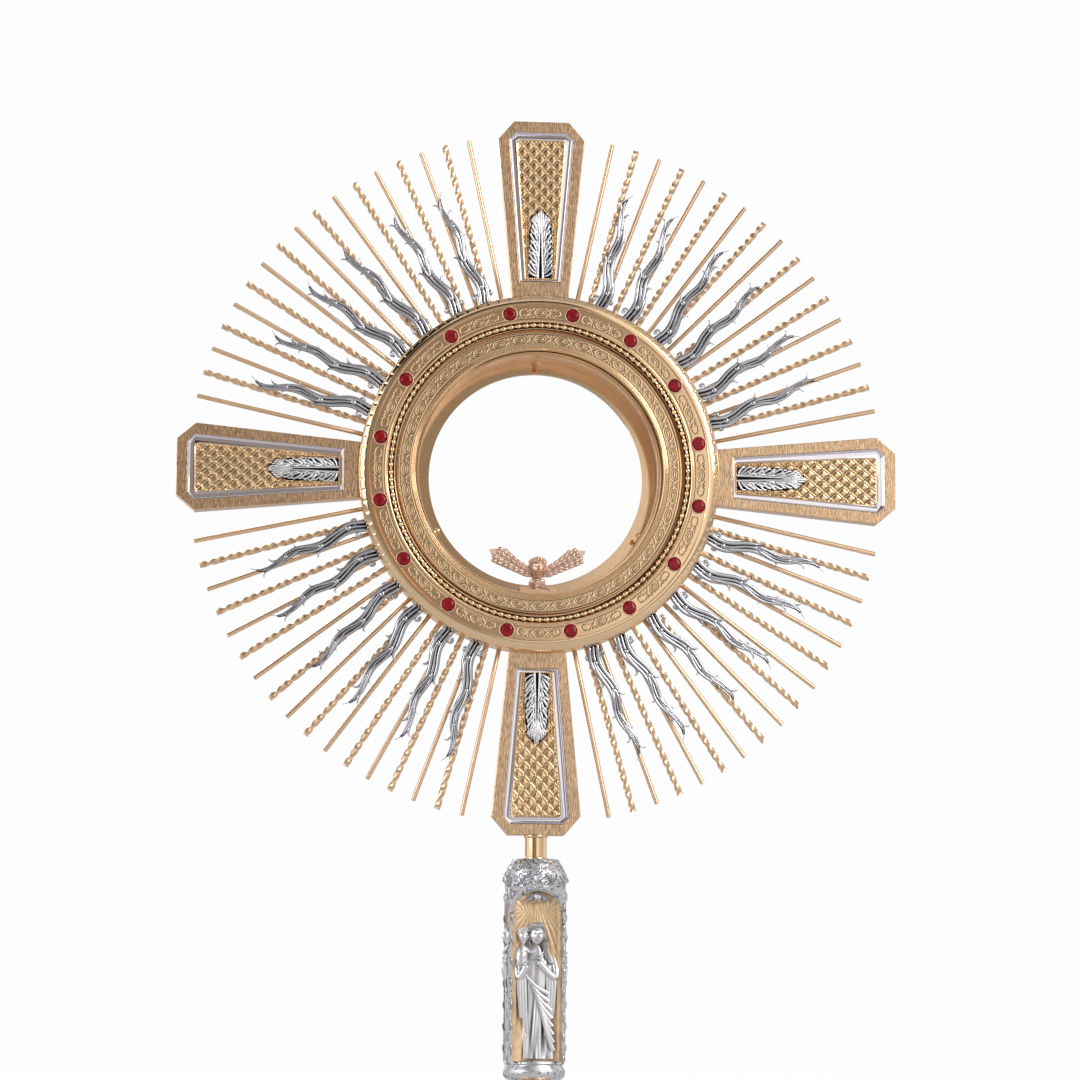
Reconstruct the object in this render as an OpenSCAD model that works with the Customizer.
// Monstrance: a sunburst host case on a figured stem and a round foot.
// Millimetres, +Z up. The origin is the centre of the foot's underside, and the front faces -Y.
// Head parts are drawn in the head's own frame (x right, y up, z towards the viewer) and
// are stood upright by on_head().

/* [Overall] */
// Height of the centre of the host case above the table
head_z = 592; // [560:1:640]
// Radius of the sunburst at the tips of the arms
arm_tip_r = 258; // [250:1:262]
// Smoothness of the round shapes
round_fn = 96; // [48:8:160]

/* [Host case] */
// Inner radius of the drum
drum_r = 86; // [84:0.5:87]
// Thickness of the drum's wall
drum_wall = 3; // [2.5:0.5:3]
// How far the drum reaches back from the ray plane
drum_back = 24; // [22:1:26]
// Outer radius of the front ring
front_r = 129.5; // [129.5:0.5:132]
// Clear radius of the polished inner lip
lip_r = 88.5; // [88:0.5:89]
// Clear radius of the rear door
door_clear_r = 77.3; // [74:0.1:78]

/* [Stones and beads] */
// Number of stones round the front ring
stone_count = 16; // [8:1:24]
// Radius of the circle of stones
stone_circle_r = 116; // [115.6:0.1:116.2]
// Radius of one collet
collet_r = 5.5; // [4:0.1:5.6]
// Number of beads in the row between the two front rings
bead_count = 122; // [60:1:126]
// Radius of one bead
bead_r = 1.9; // [1.2:0.1:1.9]

/* [Rays] */
// Radius at which the rods end
ray_tip_r = 250; // [235:1:255]
// Radius of a plain rod
rod_r = 1.65; // [1.2:0.05:1.8]
// Width of a twisted bar
bar_w = 4.1; // [3:0.1:5]
// Thickness of a twisted bar
bar_t = 2.7; // [2:0.1:3]
// Angle from an arm's axis to the first rod
first_ray = 12.1; // [12:0.1:13]
// Radius at which the flames end
flame_tip_r = 217; // [200:1:225]

/* [Arms] */
// Half width of an arm where it leaves the ring
arm_root_half = 20.3; // [19:0.1:21]
// Half width of an arm at its shoulder
arm_shoulder_half = 31.5; // [28:0.1:33]
// Half width of an arm at its tip
arm_tip_half = 20; // [18:0.1:22]
// Depth of the pocket that holds the tray
pocket_depth = 5; // [4:0.5:6]

/* [Stem and foot] */
// Radius of the foot
foot_r = 110; // [100:1:120]
// Height at which the foot ends and the knop starts
foot_top = 100; // [98:1:102]
// Height of the underside of the figured node
node_z0 = 162; // [160:1:164]
// Half width of the figured node across its flats
node_half = 20.5; // [19:0.5:22]
// Radius of the tie rod through the stem
tie_r = 3; // [2.5:0.1:3]

/* [Moving parts] */
// Radial clearance of the running fits
run_gap = 0.05; // [0.02:0.01:0.08]
// Gap between the closed door and the drum
door_gap = 0.3; // [0.2:0.1:0.5]

/* [Hidden] */
$fn = round_fn;

gold = "#d8ab62";
brushed_gold = "#c69f72";
silver = "#c9c9d2";

// Depths in the head's frame: the front flange, the rays and the door
seat_z = 4;
ring_back_z = -8;
rod_z = -4.5;
flame_z0 = -1.6;
flame_z1 = 2.6;
band_z = 12;
flange_t = 3.5;
flange_r = 120;
socket_r = 122;
bead_circle_r = 106.2;
groove_half = 2;
door_front_z = -drum_back - door_gap;
door_back_z = door_front_z - 5.7;
door_r = drum_r + 5.5;
hinge_x = door_r + 5;
hinge_z = (door_front_z + door_back_z) / 2;
knuckle_r = 3;
hinge_pin_r = 1.2;
ray_step = (90 - 2 * first_ray) / 16;
flame_angles = [18.7, 28.3, 40.1, 49.9, 61.7, 71.3];
flame_root_r = 131;
flame_lean = 6.3;
flame_root_turn = 1.2;
pocket_z = seat_z - pocket_depth;
tray_t = 1;
tray_in_r = 140;
tray_out_r = 250;
track_half = 13;
track_top = -81.6;
slot_half = 8;
slot_neck = 6;
slot_floor = -84.6;
slot_roof = -82.9;
leaf_axis_y = -78.6;
leaf_axis_z = -7.2;
tip_z = head_z - arm_tip_r;
collar_z0 = tip_z - 17;
node_h = collar_z0 - node_z0;
knop_z1 = 150;
tie_z0 = 78;
nut_z1 = 90;

// ---------- placing ----------

// Stands the head's own frame upright at the height of the case's centre
module on_head() {
    translate([0, 0, head_z]) rotate([90, 0, 0]) children();
}

// Turns a shape drawn along +y to a clock angle, seen from the front
module at_clock(angle) {
    rotate([0, 0, -angle]) children();
}

// A cylinder that runs outwards along +y, from one radius to another
module radial_rod(r, from_r, to_r) {
    translate([0, from_r, 0]) rotate([-90, 0, 0]) cylinder(r = r, h = to_r - from_r, $fn = 32);
}

// A flat ring between two depths
module flat_ring(r_out, r_in, z0, z1) {
    translate([0, 0, z0]) difference() {
        cylinder(r = r_out, h = z1 - z0);
        translate([0, 0, -1]) cylinder(r = r_in, h = z1 - z0 + 2);
    }
}

// ---------- host case ----------

module case_hinge_ear(y0, y1) {
    rotate([90, 0, 0]) translate([hinge_x, hinge_z, -y1]) cylinder(r = knuckle_r, h = y1 - y0);
    translate([hinge_x - 2.5, y0, hinge_z]) cube([4, y1 - y0, 10]);
    translate([drum_r + 1.5, y0, hinge_z + 6]) cube([hinge_x - drum_r, y1 - y0, 4]);
}

module case_drum() {
    color(gold) on_head() difference() {
        union() {
            rotate_extrude() polygon([[drum_r, -drum_back], [drum_r + drum_wall, -drum_back],
                [drum_r + drum_wall, seat_z - flange_t], [flange_r, seat_z - flange_t],
                [flange_r, seat_z], [drum_r, seat_z]]);
            case_hinge_ear(5, 12);
            case_hinge_ear(-12, -5);
        }
        rotate([90, 0, 0]) translate([hinge_x, hinge_z, -20]) cylinder(r = hinge_pin_r, h = 40);
        for (angle = [0, 120, 240]) at_clock(angle)
            translate([0, 0, -6]) radial_rod(0.9, drum_r - 2, drum_r + drum_wall + 1);
    }
}

module ray_ring() {
    color(brushed_gold) on_head() difference() {
        rotate_extrude() polygon([[flange_r, ring_back_z + 1], [flange_r + 1, ring_back_z],
            [128, ring_back_z], [129, ring_back_z + 1], [129, seat_z], [flange_r, seat_z]]);
        for (arm = [0 : 3]) at_clock(90 * arm) {
            translate([-12, 121, ring_back_z - 1]) cube([24, 10, seat_z - ring_back_z + 2]);
            for (k = [0 : 16]) at_clock(first_ray + k * ray_step) translate([0, 0, rod_z])
                radial_rod(k % 2 == 0 ? rod_r : bar_t / 2, socket_r, 131);
            for (angle = flame_angles) at_clock(angle + flame_root_turn)
                translate([-1.2, 123, flame_z0 + 0.7]) cube([2.4, 8, 2.8]);
        }
    }
}

// The polished rim is a quarter of an ellipse from the outer edge to the engraved band
rim_edge_z = 8;
rim_top_z = 13.2;
rim_in_r = 121.4;
function rim_curve() = [for (a = [0 : 15 : 90])
    [rim_in_r + (front_r - rim_in_r) * cos(a), rim_edge_z + (rim_top_z - rim_edge_z) * sin(a)]];

module outer_ring() {
    color(gold) on_head() difference() {
        rotate_extrude() polygon(concat([[103.4, seat_z], [front_r, seat_z]], rim_curve(),
            [[rim_in_r - 0.4, band_z], [110.5, band_z], [110.5, 13], [109.9, 13.6], [108.8, 13.6],
            [bead_circle_r + groove_half, 13], [bead_circle_r + groove_half, 10.4],
            [bead_circle_r - groove_half, 10.4], [bead_circle_r - groove_half, 12.4], [103.4, 12.4]]));
        for (k = [0 : stone_count - 1]) at_clock((k + 0.5) * 360 / stone_count)
            translate([0, stone_circle_r, band_z - 2]) cylinder(r = collet_r, h = 10, $fn = 48);
        for (arm = [0 : 3], side = [-1, 1]) at_clock(90 * arm)
            translate([7 * side, 125, seat_z - 1]) cylinder(r = 1.5, h = 6, $fn = 24);
    }
}

module inner_ring() {
    color(gold) on_head() rotate_extrude() polygon([[90.8, seat_z], [102, seat_z], [102, 12.6],
        [101, 12.6], [100.6, band_z], [91.9, band_z], [91.5, 12.6], [91, 13.6], [90.6, 13.2],
        [90.2, 14.2], [89.8, 13.8], [89.4, 14.6], [lip_r, 14.6], [lip_r, 8], [90.8, 8]]);
}

module bead_ring() {
    color(gold) on_head() for (k = [0 : bead_count - 1]) at_clock(k * 360 / bead_count)
        translate([0, bead_circle_r, 12.3]) sphere(r = bead_r, $fn = 20);
}

module stone_settings() {
    color(gold) on_head() for (k = [0 : stone_count - 1]) at_clock((k + 0.5) * 360 / stone_count)
        translate([0, stone_circle_r, band_z - 2]) rotate_extrude($fn = 48)
            polygon([[0, 0], [collet_r, 0], [collet_r, 3.2], [collet_r - 0.2, 3.6],
                [collet_r - 0.5, 3.2], [collet_r - 0.5, 0.6], [0, 0.6]]);
}

module stones() {
    color("#b01028") on_head() for (k = [0 : stone_count - 1]) at_clock((k + 0.5) * 360 / stone_count)
        translate([0, stone_circle_r, band_z - 1.4]) rotate_extrude($fn = 48)
            polygon(concat([[0, 0], [collet_r - 0.5, 0]],
                [for (a = [0 : 15 : 90]) [(collet_r - 0.5) * cos(a), 2.4 + 2 * sin(a)]]));
}

module front_glass() {
    color("#dfe8ea", 0.35) on_head() translate([0, 0, 5.8]) cylinder(r = 90.8, h = 2.2);
}

module front_glass_retainer() {
    color(gold) on_head() flat_ring(90.8, 87, seat_z, 5.8);
}

module rest_pins() {
    color(gold) on_head() for (angle = [0, 120, 240]) at_clock(angle) translate([0, 0, -6]) {
        radial_rod(0.9, 80.5, drum_r + drum_wall);
        translate([0, 80.5, 0]) sphere(r = 1.75, $fn = 32);
    }
}

// ---------- sunburst ----------

module plain_rays(quadrant) {
    color(gold) on_head() at_clock(90 * quadrant) for (k = [0 : 2 : 16])
        at_clock(first_ray + k * ray_step) translate([0, 0, rod_z])
            radial_rod(rod_r, socket_r, ray_tip_r);
}

module twisted_rays(quadrant) {
    color(gold) on_head() at_clock(90 * quadrant) for (k = [1 : 2 : 15])
        at_clock(first_ray + k * ray_step) translate([0, 0, rod_z]) {
            radial_rod(bar_t / 2, socket_r, 130);
            translate([-bar_w / 2, 129.2, -bar_t / 2]) cube([bar_w, ray_tip_r - 129.2, bar_t]);
        }
}

// Sideways sway and half width of a flame, at a fraction t of its length
flame_len = flame_tip_r - flame_root_r;
function flame_sway(t) = (2.3 - 0.9 * t) * sin(360 * (t * flame_len - 2) / 41) - 1.1 * t;
function flame_half(t) = 4.5 * sqrt(min(1, (1 - t) * 1.9)) * (1 - 0.3 * max(0, 0.08 - t) / 0.08);
function flame_side(side) = [for (i = [0 : 24])
    [flame_sway(i / 24) + side * flame_half(i / 24), flame_root_r + flame_len * i / 24]];
function reversed(list) = [for (i = [len(list) - 1 : -1 : 0]) list[i]];

module flame() {
    translate([0, flame_root_r, flame_z0]) rotate([0, 0, flame_lean]) translate([0, -flame_root_r, 0])
        linear_extrude(flame_z1 - flame_z0)
            polygon(concat(flame_side(-1), reversed([for (i = [0 : 23]) flame_side(1)[i]])));
    translate([-1.2, 123, flame_z0 + 0.7]) cube([2.4, 10, 2.8]);
}

module flame_rays(quadrant) {
    color(silver) on_head() at_clock(90 * quadrant) for (angle = flame_angles)
        at_clock(angle + flame_root_turn) flame();
}

// ---------- arms ----------

arm_shoulder_r = arm_tip_r - 13.5;
module arm_frame(index, bottom = false) {
    color(brushed_gold) on_head() at_clock(90 * index) difference() {
        union() {
            difference() {
                translate([0, 0, ring_back_z]) linear_extrude(seat_z - ring_back_z)
                    polygon([[-18.8, 115], [18.8, 115], [arm_root_half, 129],
                        [arm_shoulder_half, arm_shoulder_r], [arm_tip_half, arm_tip_r],
                        [-arm_tip_half, arm_tip_r], [-arm_shoulder_half, arm_shoulder_r],
                        [-arm_root_half, 129]]);
                translate([0, 0, -20]) cylinder(r = front_r, h = 40);
            }
            translate([-12, 121, ring_back_z]) cube([24, 12, seat_z - ring_back_z]);
        }
        translate([0, 0, pocket_z]) linear_extrude(10) polygon(tray_outline(0));
        for (side = [-1, 1]) translate([7 * side, 125, ring_back_z - 1])
            cylinder(r = 1.5, h = 20, $fn = 24);
        if (bottom) radial_rod(tie_r, tray_out_r + 1, arm_tip_r + 1);
    }
}

// The tray's outline, drawn in by a margin all round
function tray_outline(m) = [[-14.7 + m, tray_in_r + m], [14.7 - m, tray_in_r + m],
    [23.2 - m, tray_out_r - 5], [18.5 - m * 0.7, tray_out_r - m],
    [-18.5 + m * 0.7, tray_out_r - m], [-23.2 + m, tray_out_r - 5]];

module arm_tray(index) {
    color(silver) on_head() at_clock(90 * index) difference() {
        translate([0, 0, pocket_z]) linear_extrude(pocket_depth) polygon(tray_outline(0));
        translate([0, 0, pocket_z + tray_t]) linear_extrude(pocket_depth) polygon(tray_outline(1.2));
    }
}

lattice_z0 = pocket_z + tray_t;
lattice_t = 1.6;
module arm_lattice(index) {
    color(gold) on_head() at_clock(90 * index) translate([0, 0, lattice_z0])
        linear_extrude(lattice_t) polygon([[-11.1, tray_in_r + 2], [11.1, tray_in_r + 2],
            [18.2, tray_out_r - 6], [17, tray_out_r - 4.6], [-17, tray_out_r - 4.6],
            [-18.2, tray_out_r - 6]]);
}

leaf_len = 51;
function leaf_half(t) = 10 * sqrt(sin(180 * pow(t, 0.8))) * (0.75 + 0.25 * sin(180 * t));
module arm_leaf(index) {
    color(silver) on_head() at_clock(90 * index)
        translate([0, tray_in_r + 2.4, lattice_z0 + lattice_t]) linear_extrude(2.2)
            polygon(concat([for (i = [0 : 12]) [leaf_half(i / 12), leaf_len * i / 12]],
                [for (i = [11 : -1 : 1]) [-leaf_half(i / 12), leaf_len * i / 12]]));
}

module arm_screws() {
    color(silver) on_head() for (arm = [0 : 3], side = [-1, 1]) at_clock(90 * arm)
        translate([7 * side, 125, 0]) difference() {
            union() {
                translate([0, 0, ring_back_z - 1]) cylinder(r = 1.5, h = 17, $fn = 24);
                translate([0, 0, ring_back_z - 2]) cylinder(r = 2.75, h = 2, $fn = 32);
            }
            translate([-3, -0.4, ring_back_z - 3]) cube([6, 0.8, 1.8]);
        }
}

// ---------- rear door ----------

module door_ring() {
    color(gold) on_head() difference() {
        union() {
            rotate_extrude() polygon([[door_clear_r, door_front_z], [door_r, door_front_z],
                [door_r, door_back_z + 1.5], [door_r - 1.5, door_back_z], [81, door_back_z],
                [81, door_front_z - 1.7], [door_clear_r, door_front_z - 1.7]]);
            rotate([90, 0, 0]) translate([hinge_x, hinge_z, -4.8]) cylinder(r = knuckle_r, h = 9.6);
            translate([door_r - 4, -4.8, hinge_z - 1]) cube([9, 9.6, 2]);
        }
        rotate([90, 0, 0]) translate([hinge_x, hinge_z, -10])
            cylinder(r = hinge_pin_r + run_gap, h = 20);
    }
}

module door_glass() {
    color("#dfe8ea", 0.35) on_head() translate([0, 0, door_front_z - 3.9]) cylinder(r = 81, h = 2.2);
}

module door_glass_retainer() {
    color(gold) on_head() flat_ring(81, 77.6, door_back_z, door_front_z - 3.9);
}

module door_knob() {
    color(gold) on_head() translate([-86.4, 0, door_back_z]) rotate([180, 0, 0]) rotate_extrude()
        polygon([[0, 0], [2.6, 0], [2.2, 0.8], [1.4, 1.4], [1.3, 3.4], [2.4, 4.2], [3.2, 5.4],
            [3.2, 6.4], [2.4, 7.6], [1, 8.2], [0, 8.3]]);
}

module door_catch() {
    color(gold) on_head() difference() {
        union() {
            translate([-door_r - 1.6, -5, door_back_z]) cube([1.2, 10, 14]);
            translate([-door_r - 1.6, -5, -22]) cube([6, 10, 3]);
        }
        translate([0, 0, -40]) cylinder(r = drum_r + drum_wall, h = 40);
    }
}

module hinge_pin() {
    color(silver) on_head() rotate([90, 0, 0]) translate([hinge_x, hinge_z, -13]) {
        cylinder(r = hinge_pin_r, h = 26);
        translate([0, 0, 25]) cylinder(r = 2, h = 1);
        cylinder(r = 2, h = 1);
    }
}

// ---------- lunette ----------

module lunette_track() {
    color(gold) on_head() intersection() {
        translate([0, 0, -23.4]) linear_extrude(26.9) polygon([[-track_half, -90],
            [track_half, -90], [track_half, track_top], [slot_neck, track_top],
            [slot_neck, slot_roof], [slot_half, slot_roof], [slot_half, slot_floor],
            [-slot_half, slot_floor], [-slot_half, slot_roof], [-slot_neck, slot_roof],
            [-slot_neck, track_top], [-track_half, track_top]]);
        translate([0, 0, -30]) cylinder(r = drum_r, h = 40);
    }
}

// The shoe slides in the track: a flat plate, and behind the clip a neck with two ears
shoe_top = slot_roof - 0.1;
clip_z = -5.2;
module lunette_shoe() {
    color(gold) on_head() difference() {
        translate([0, 0, -10]) {
            translate([-slot_half + 0.1, slot_floor + 0.1, 0])
                cube([2 * slot_half - 0.2, shoe_top - slot_floor - 0.1, 12]);
            translate([-slot_neck + 0.2, shoe_top - 0.5, 0])
                cube([2 * slot_neck - 0.4, track_top + 1.5 - shoe_top, 9.9 + clip_z]);
            for (x = [-slot_neck + 0.2, 3.2]) translate([x, track_top, 1.2])
                cube([2.6, 4.8, 3.2]);
        }
        translate([-10, leaf_axis_y, leaf_axis_z]) rotate([0, 90, 0]) cylinder(r = 0.8, h = 20, $fn = 32);
    }
}

// The clip: a winged head on a foot; one wing's outline, mirrored for the other side
wing_outline = [[5, -69.5], [22.6, -53.1], [23.6, -55.9], [25.9, -53.6], [34.6, -54.4],
    [31.5, -61.7], [27.6, -63.2], [29.2, -65], [5, -74]];
module lunette_cherub() {
    color("#d8a888") on_head() translate([0, 0, clip_z]) union() {
        translate([-slot_neck + 0.2, shoe_top, 0]) cube([2 * slot_neck - 0.4, 9, 5.2]);
        for (side = [0, 1]) mirror([side, 0, 0]) linear_extrude(2.4) polygon(wing_outline);
        intersection() {
            translate([0, -67.7, 1]) sphere(r = 6.3, $fn = 48);
            translate([-10, -75, 0]) cube([20, 20, 10]);
        }
    }
}

module lunette_rear_leaf() {
    color(gold) on_head() difference() {
        union() {
            translate([-3, leaf_axis_y, leaf_axis_z]) rotate([0, 90, 0]) cylinder(r = 1.5, h = 6, $fn = 32);
            translate([-3, leaf_axis_y, leaf_axis_z - 0.6]) cube([6, 8, 1]);
            translate([0, 0, leaf_axis_z - 0.6]) linear_extrude(1) polygon([[-3, -74],
                [3, -74], [12, -70.5], [22, -66], [25, -58], [21, -58.6], [10, -64.5],
                [0, -66.5], [-10, -64.5], [-21, -58.6], [-25, -58], [-22, -66], [-12, -70.5]]);
        }
        translate([-10, leaf_axis_y, leaf_axis_z]) rotate([0, 90, 0])
            cylinder(r = 0.8 + run_gap, h = 20, $fn = 32);
    }
}

module lunette_pin() {
    color(silver) on_head() translate([-5.8, leaf_axis_y, leaf_axis_z]) rotate([0, 90, 0])
        cylinder(r = 0.8, h = 11.6, $fn = 32);
}

// ---------- stem and foot ----------

// A turned piece from a list of [radius, height], bored for the tie rod
module turned(profile, bore = tie_r) {
    rotate_extrude() polygon(concat([[bore, profile[0][1]]], profile,
        [[bore, profile[len(profile) - 1][1]]]));
}

module upper_collar() {
    color(gold) turned([[8.4, collar_z0], [8.4, collar_z0 + 1], [7.9, collar_z0 + 1.5],
        [7.9, tip_z - 2], [8.6, tip_z - 1.4], [8.6, tip_z]]);
}

// The casting: a domed cap and base, and a square shaft with four arched niches
niche_half = 16;
niche_floor = 15.5;
niche_z0 = node_z0 + 16;
niche_spring = node_z0 + node_h - 40;
module figure_node() {
    color(silver) difference() {
        union() {
            turned([[17, node_z0], [21, node_z0 + 3], [22, node_z0 + 7], [20.5, node_z0 + 11],
                [20.5, node_z0 + 14]], 0);
            intersection() {
                translate([-node_half, -node_half, node_z0 + 13])
                    cube([2 * node_half, 2 * node_half, node_h - 33]);
                cylinder(r = 25, h = 400);
            }
            turned([[20.5, collar_z0 - 22], [21.6, collar_z0 - 18], [22, collar_z0 - 13],
                [21, collar_z0 - 7], [18, collar_z0 - 2], [16.5, collar_z0]], 0);
        }
        for (face = [0 : 3]) rotate([0, 0, 90 * face]) {
            translate([-niche_half, -30, niche_z0])
                cube([2 * niche_half, 30 - niche_floor, niche_spring - niche_z0]);
            translate([0, -niche_floor, niche_spring]) rotate([90, 0, 0])
                cylinder(r = niche_half, h = 15);
        }
        cylinder(r = tie_r, h = 400, $fn = 48);
    }
}

// Four robed figures in half relief, one in each niche
module niche_figures() {
    color(silver) for (face = [0 : 3]) rotate([0, 0, 90 * face]) intersection() {
        translate([0, -niche_floor, niche_z0]) union() {
            rotate_extrude($fn = 48) polygon([[0, 0], [12.5, 0], [11, 16], [9.4, 44], [10.6, 66],
                [10.4, 76], [6, 83], [3.6, 86], [0, 86]]);
            translate([0, -1.5, 92.5]) sphere(r = 6.2, $fn = 48);
        }
        translate([-20, -27, 0]) cube([40, 27 - niche_floor, 400]);
    }
}

module lower_collar() {
    color(gold) turned([[13, knop_z1], [13, knop_z1 + 1.5], [11.5, knop_z1 + 3],
        [11.5, node_z0 - 5], [15, node_z0 - 2.5], [16.5, node_z0 - 1.5], [16.5, node_z0]]);
}

knop_r = 29;
module knop() {
    color(gold) turned(concat([[14, foot_top], [14, foot_top + 2], [11, foot_top + 4.5],
        [11, foot_top + 8]],
        [for (a = [-60 : 15 : 60]) [10 + (knop_r - 10) * cos(a), foot_top + 26 + 19 * sin(a)]],
        [[12, knop_z1 - 6], [12, knop_z1 - 3], [14, knop_z1 - 1.5], [14, knop_z1]]));
}

// Half profile of the foot from the rim to the neck, and the same curve inside
foot_bead_r = foot_r - 15;
foot_bead_count = 108;
foot_profile = [[foot_r, 2], [foot_r, 7], [foot_r - 1, 8.5], [foot_r - 3, 9], [foot_r - 4, 10.5],
    [foot_r - 11, 21], [foot_r - 12.4, 21.5], [foot_r - 12.4, 20.5], [foot_r - 17.6, 20.5],
    [foot_r - 17.6, 23], [foot_r - 20, 24]];
function foot_dome(r0, r1, z0, z1, inset) = [for (t = [0 : 0.125 : 1])
    [r1 + (r0 - r1) * pow(1 - t, 1.9) - inset * (1 - t), z0 + (z1 - z0) * pow(t, 1.35) - inset * t]];
module foot() {
    color(gold) rotate_extrude() polygon(concat(foot_profile,
        foot_dome(foot_r - 22, 15, 25, foot_top - 8, 0),
        [[17, foot_top - 6], [18, foot_top - 4], [17, foot_top - 1.5], [14, foot_top],
        [tie_r, foot_top], [tie_r, nut_z1], [12, nut_z1]],
        reversed(foot_dome(foot_r - 25, 12, 22, foot_top - 12, 2)),
        [[foot_r - 18, 17], [foot_r - 12, 17], [foot_r - 7, 8], [foot_r - 4, 6], [foot_r - 4, 2]]));
}

module foot_beads() {
    color(gold) for (k = [0 : foot_bead_count - 1]) rotate([0, 0, k * 360 / foot_bead_count])
        translate([foot_bead_r, 0, 22.4]) sphere(r = bead_r, $fn = 20);
}

module base_pad() {
    color("#5a1f28") cylinder(r = foot_r - 2, h = 2);
}

module tie_rod() {
    color(silver) translate([0, 0, tie_z0]) cylinder(r = tie_r, h = tip_z + 7 - tie_z0, $fn = 48);
}

module tie_nut() {
    color(silver) difference() {
        translate([0, 0, nut_z1 - 5]) cylinder(r = 5.8, h = 5, $fn = 6);
        cylinder(r = tie_r, h = 200, $fn = 48);
    }
}

case_drum();
ray_ring();
outer_ring();
inner_ring();
bead_ring();
stone_settings();
stones();
front_glass();
front_glass_retainer();
rest_pins();
plain_rays(0);  // plain_rays_upper_right
plain_rays(1);  // plain_rays_lower_right
plain_rays(2);  // plain_rays_lower_left
plain_rays(3);  // plain_rays_upper_left
twisted_rays(0);  // twisted_rays_upper_right
twisted_rays(1);  // twisted_rays_lower_right
twisted_rays(2);  // twisted_rays_lower_left
twisted_rays(3);  // twisted_rays_upper_left
flame_rays(0);  // flame_rays_upper_right
flame_rays(1);  // flame_rays_lower_right
flame_rays(2);  // flame_rays_lower_left
flame_rays(3);  // flame_rays_upper_left
arm_frame(0);  // arm_frame_top
arm_frame(1);  // arm_frame_right
arm_frame(2, bottom = true);  // arm_frame_bottom
arm_frame(3);  // arm_frame_left
arm_tray(0);  // arm_tray_top
arm_tray(1);  // arm_tray_right
arm_tray(2);  // arm_tray_bottom
arm_tray(3);  // arm_tray_left
arm_lattice(0);  // arm_lattice_top
arm_lattice(1);  // arm_lattice_right
arm_lattice(2);  // arm_lattice_bottom
arm_lattice(3);  // arm_lattice_left
arm_leaf(0);  // arm_leaf_top
arm_leaf(1);  // arm_leaf_right
arm_leaf(2);  // arm_leaf_bottom
arm_leaf(3);  // arm_leaf_left
arm_screws();
door_ring();
door_glass();
door_glass_retainer();
door_knob();
door_catch();
hinge_pin();
lunette_track();
lunette_shoe();
lunette_cherub();
lunette_rear_leaf();
lunette_pin();
upper_collar();
figure_node();
niche_figures();
lower_collar();
knop();
foot();
foot_beads();
base_pad();
tie_rod();
tie_nut();
